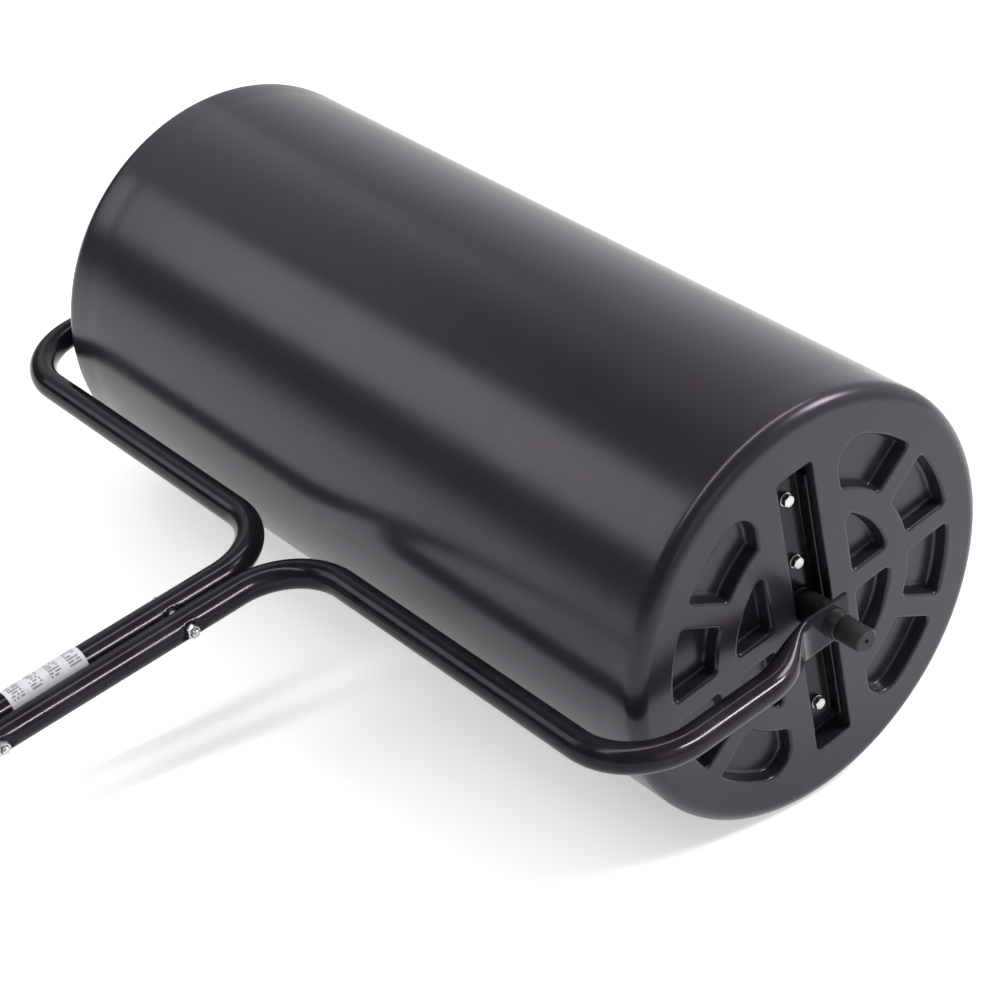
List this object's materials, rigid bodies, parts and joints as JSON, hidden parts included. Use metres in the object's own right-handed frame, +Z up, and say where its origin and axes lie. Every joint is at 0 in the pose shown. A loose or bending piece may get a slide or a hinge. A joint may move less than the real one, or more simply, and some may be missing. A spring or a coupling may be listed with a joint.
{
  "type": "lawn roller",
  "caption": "Tow-behind lawn roller: hollow plastic ballast drum with ribbed ends, turning on axle stubs in a bent steel tube frame with a pin hitch.",
  "frame": {"origin": "on the ground under the middle of the roller's bounding box", "axes": "+Z up, X along the axle, +Y from the hitch towards the drum, so the tongue points to -Y"},
  "size_m": [1.067, 1.2298, 0.444],
  "materials": {
    "drum_plastic": "semi-matte blow-moulded black polyethylene, fine grain",
    "frame_paint": "gloss black powder coat",
    "axle_steel": "satin black, a little worn",
    "zinc_plate": "bright zinc plate",
    "bush_plastic": "black nylon",
    "plug_plastic": "moulded black plastic",
    "gasket_rubber": "matt black rubber",
    "label_film": "white printed film, left blank of any text"
  },
  "bodies": {
    "frame": {"frame_bush_left": "bush_plastic", "frame_bush_right": "bush_plastic", "frame_tube_left": "frame_paint", "frame_tube_right": "frame_paint", "hitch_bolt_1": "zinc_plate", "hitch_bolt_2": "zinc_plate", "hitch_bolt_3": "zinc_plate", "hitch_bolt_4": "zinc_plate", "hitch_nut_1": "zinc_plate", "hitch_nut_2": "zinc_plate", "hitch_nut_3": "zinc_plate", "hitch_nut_4": "zinc_plate", "hitch_strap_lower": "frame_paint", "hitch_strap_upper": "frame_paint", "tongue_bolt_1": "zinc_plate", "tongue_bolt_2": "zinc_plate", "tongue_nut_1": "zinc_plate", "tongue_nut_2": "zinc_plate", "tongue_spacer_1": "zinc_plate", "tongue_spacer_2": "zinc_plate", "tube_cap_left": "bush_plastic", "tube_cap_right": "bush_plastic", "tube_label": "label_film"},
    "drum": {"axle_bracket_left": "frame_paint", "axle_bracket_right": "frame_paint", "axle_spacer_left": "axle_steel", "axle_spacer_right": "axle_steel", "axle_stub_left": "axle_steel", "axle_stub_right": "axle_steel", "bracket_bolt_left_1": "zinc_plate", "bracket_bolt_left_2": "zinc_plate", "bracket_bolt_left_3": "zinc_plate", "bracket_bolt_left_4": "zinc_plate", "bracket_bolt_right_1": "zinc_plate", "bracket_bolt_right_2": "zinc_plate", "bracket_bolt_right_3": "zinc_plate", "bracket_bolt_right_4": "zinc_plate", "bracket_washer_left_1": "zinc_plate", "bracket_washer_left_2": "zinc_plate", "bracket_washer_left_3": "zinc_plate", "bracket_washer_left_4": "zinc_plate", "bracket_washer_right_1": "zinc_plate", "bracket_washer_right_2": "zinc_plate", "bracket_washer_right_3": "zinc_plate", "bracket_washer_right_4": "zinc_plate", "drum_shell": "drum_plastic"},
    "plug": {"fill_plug": "plug_plastic", "fill_gasket": "gasket_rubber"},
    "hitch_pin": {"hitch_pin": "zinc_plate"}
  },
  "joints": [
    {"name": "drum_spin", "type": "hinge", "parent": "frame", "child": "drum", "pos_m": [0, 0.39295, 0.222], "axis": [1, 0, 0], "continuous": true},
    {"name": "plug_unscrew", "type": "slide", "parent": "drum", "child": "plug", "axis": [-1, 0, 0], "range_m": [0, 0.03]},
    {"name": "hitch_pin_lift", "type": "slide", "parent": "frame", "child": "hitch_pin", "axis": [0, -0.186, 0.9825], "range_m": [0, 0.06]}
  ]
}
